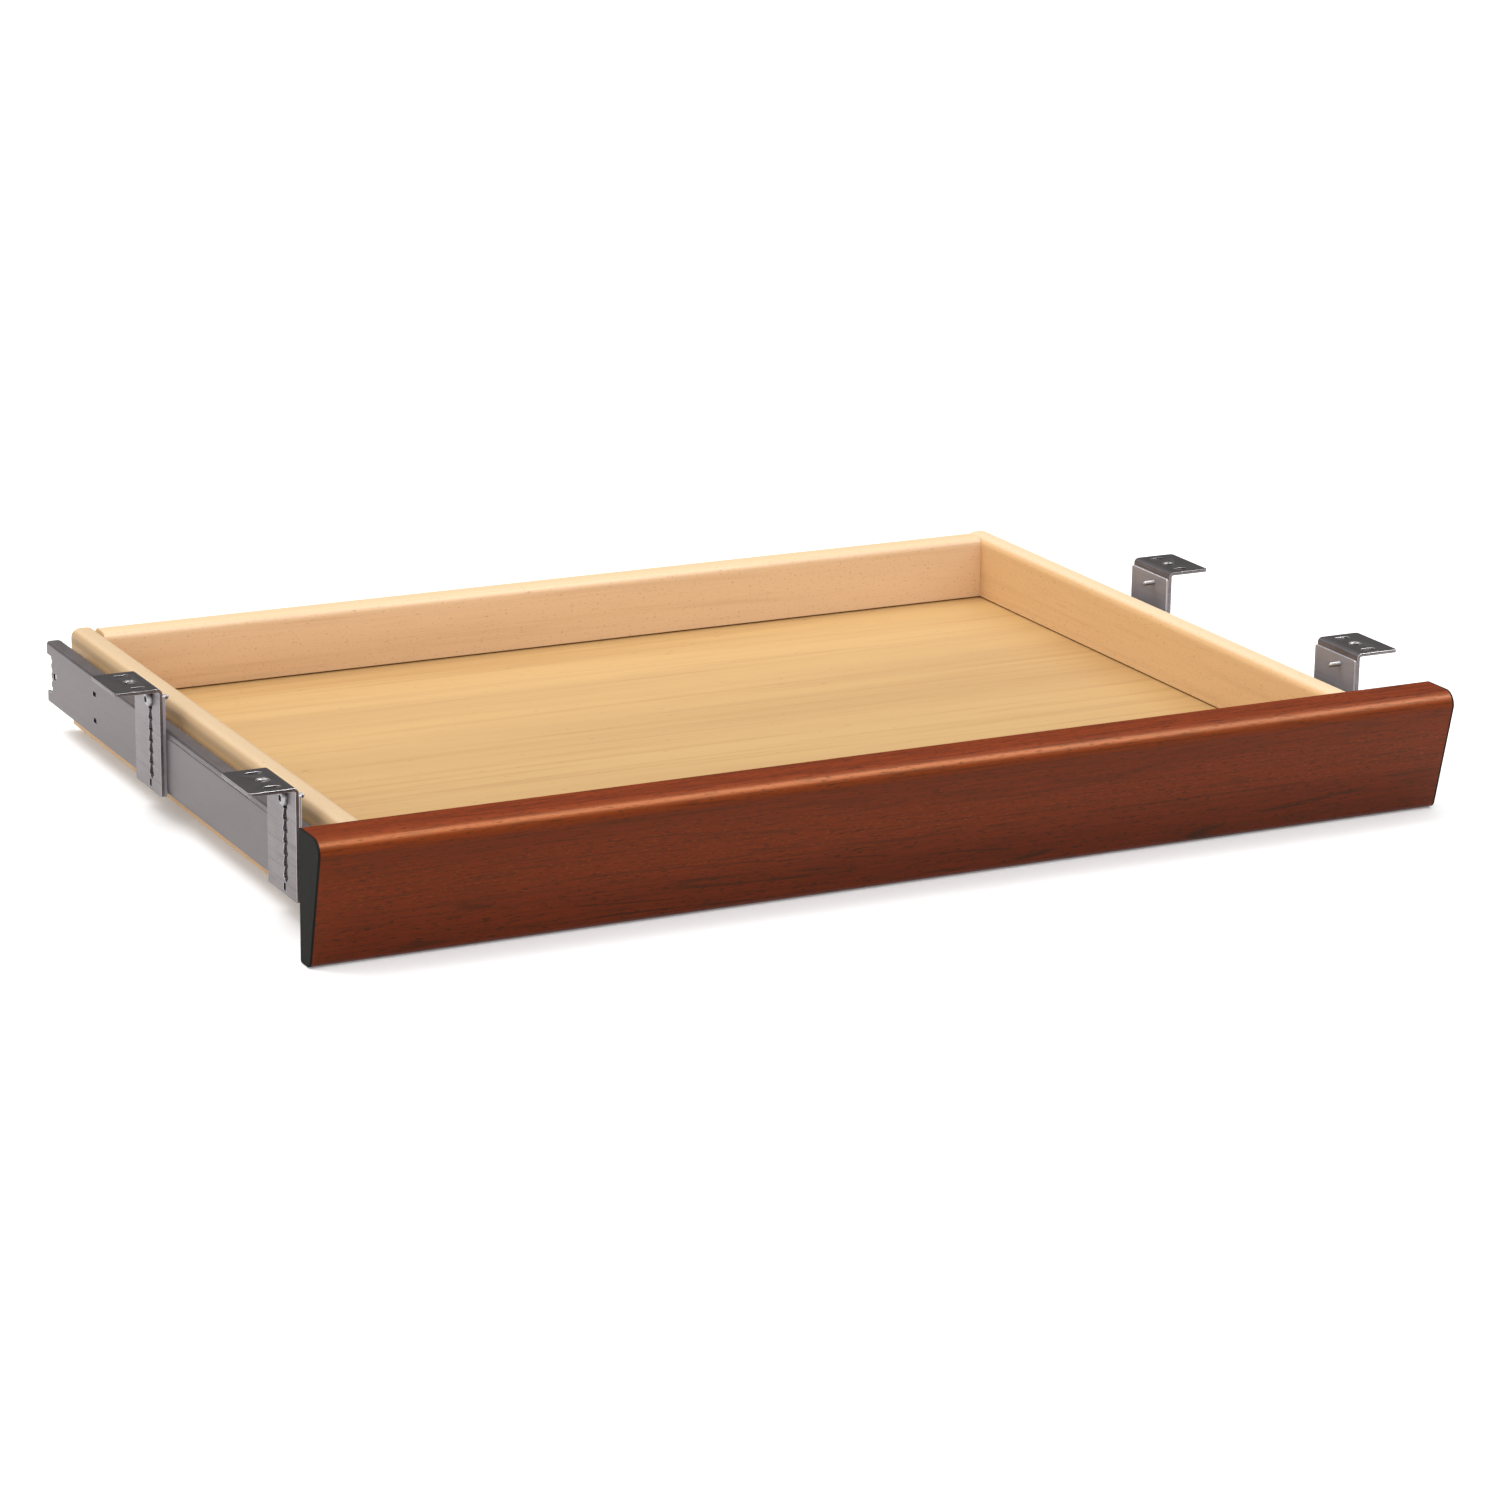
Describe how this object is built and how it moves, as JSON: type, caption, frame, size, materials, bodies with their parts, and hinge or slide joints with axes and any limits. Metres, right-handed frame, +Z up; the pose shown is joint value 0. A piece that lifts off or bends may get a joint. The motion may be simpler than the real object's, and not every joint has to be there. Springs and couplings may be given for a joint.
{
  "type": "under desk drawer",
  "caption": "Shallow wooden centre drawer with a leaning laminate front, hung under a desk on ball-bearing slides and height-adjustable angle brackets.",
  "frame": {"origin": "centre of the overall footprint, at the height of the front panel's lower edge", "axes": "+X along the drawer's width, -Y the front and the way the drawer opens, +Z up"},
  "size_m": [0.574, 0.3964, 0.0635],
  "materials": {
    "cherry_laminate": "satin",
    "charcoal_band": "matte",
    "beech_laminate": "satin",
    "maple_laminate": "satin",
    "dowel_beech": "matte",
    "zinc_screw": "bright",
    "zinc_sheet": "zinc plated",
    "cage_steel": "satin",
    "ball_steel": "polished",
    "bumper_nylon": "matte"
  },
  "bodies": {
    "desk_brackets": {"left_front_desk_bracket": "zinc_sheet", "right_front_desk_bracket": "zinc_sheet", "left_rear_desk_bracket": "zinc_sheet", "right_rear_desk_bracket": "zinc_sheet"},
    "rails": {"left_outer_slide": "zinc_sheet", "right_outer_slide": "zinc_sheet", "left_slide_bumper": "bumper_nylon", "right_slide_bumper": "bumper_nylon", "left_front_clip_plate": "zinc_sheet", "right_front_clip_plate": "zinc_sheet", "left_rear_clip_plate": "zinc_sheet", "right_rear_clip_plate": "zinc_sheet", "left_front_clamp_screw": "zinc_screw", "right_front_clamp_screw": "zinc_screw", "left_rear_clamp_screw": "zinc_screw", "right_rear_clamp_screw": "zinc_screw"},
    "drawer": {"front_panel": "cherry_laminate", "sub_front": "beech_laminate", "rear_board": "beech_laminate", "floor_panel": "maple_laminate", "corner_dowels": "dowel_beech", "front_panel_screws": "zinc_screw", "left_end_band": "charcoal_band", "right_end_band": "charcoal_band", "left_side_board": "beech_laminate", "right_side_board": "beech_laminate", "left_inner_slide": "zinc_sheet", "right_inner_slide": "zinc_sheet", "left_slide_screws": "zinc_screw", "right_slide_screws": "zinc_screw"},
    "left_balls": {"left_ball_cage": "cage_steel", "left_slide_balls": "ball_steel"},
    "right_balls": {"right_ball_cage": "cage_steel", "right_slide_balls": "ball_steel"}
  },
  "joints": [
    {"name": "height_adjust", "type": "slide", "parent": "desk_brackets", "child": "rails", "axis": [0, 0, -1], "range_m": [0, 0.032]},
    {"name": "drawer_slide", "type": "slide", "parent": "rails", "child": "drawer", "axis": [0, -1, 0], "range_m": [0, 0.265]},
    {"name": "left_balls_roll", "type": "slide", "parent": "rails", "child": "left_balls", "axis": [0, -1, 0], "range_m": [0, 0.1325]},
    {"name": "right_balls_roll", "type": "slide", "parent": "rails", "child": "right_balls", "axis": [0, -1, 0], "range_m": [0, 0.1325]}
  ],
  "couplings": [
    {"joint": "left_balls_roll", "follows": "drawer_slide", "ratio": 0.5},
    {"joint": "right_balls_roll", "follows": "drawer_slide", "ratio": 0.5}
  ]
}
